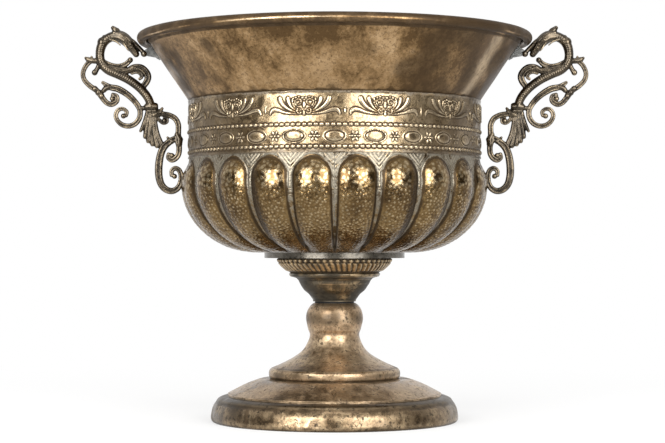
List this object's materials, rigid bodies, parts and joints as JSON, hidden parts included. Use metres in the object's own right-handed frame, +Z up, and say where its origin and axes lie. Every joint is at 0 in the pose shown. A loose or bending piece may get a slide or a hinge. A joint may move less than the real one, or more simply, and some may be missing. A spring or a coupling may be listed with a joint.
{
  "type": "footed flower pot",
  "caption": "Urn-shaped footed flower pot of antique-brass sheet with a flared collar, embossed frieze band, lobed bowl, turned pedestal foot and cast scroll handles.",
  "frame": {"origin": "centre of the plinth's underside, on the floor", "axes": "+Z up along the pot's axis, +X through the right-hand handle, -Y towards the viewer of the picture"},
  "size_m": [0.5088, 0.3944, 0.3961],
  "materials": {
    "collar_brass": "satin antique brass sheet with brown stains",
    "band_brass": "embossed antique brass, rubbed bright on the raised ornament",
    "bowl_brass": "hammered antique brass with dark channels",
    "stem_bronze": "dull antique bronze finish on a casting",
    "foot_bronze": "speckled antique copper-bronze finish on a casting",
    "plinth_bronze": "mottled antique brass sheet",
    "handle_bronze": "dark bronze casting with rubbed edges",
    "plate_steel": "satin grey steel",
    "tab_steel": "dull grey steel",
    "fixing_steel": "zinc-plated steel",
    "wire_steel": "plain steel wire",
    "rivet_bronze": "dark bronze",
    "black_washer": "black rubber"
  },
  "bodies": {
    "root": {"flared_collar": "collar_brass", "rim_wire": "wire_steel", "frieze_band": "band_brass", "lobed_bowl_left": "bowl_brass", "lobed_bowl_right": "bowl_brass", "seat_plate": "plate_steel", "gadroon_ring": "stem_bronze", "stem_cup": "stem_bronze", "stem_washer": "black_washer", "pedestal_stem": "foot_bronze", "foot_dome": "foot_bronze", "foot_plinth": "plinth_bronze", "tie_rod": "fixing_steel", "rod_top_washer": "fixing_steel", "rod_top_nut": "fixing_steel", "rod_bottom_washer": "fixing_steel", "rod_bottom_nut": "fixing_steel", "handle_left": "handle_bronze", "handle_right": "handle_bronze", "handle_tab_left": "tab_steel", "handle_tab_right": "tab_steel", "tab_rivets": "tab_steel", "jaw_rivets": "rivet_bronze", "seat_screws": "fixing_steel", "seat_washers": "fixing_steel"}
  },
  "joints": []
}
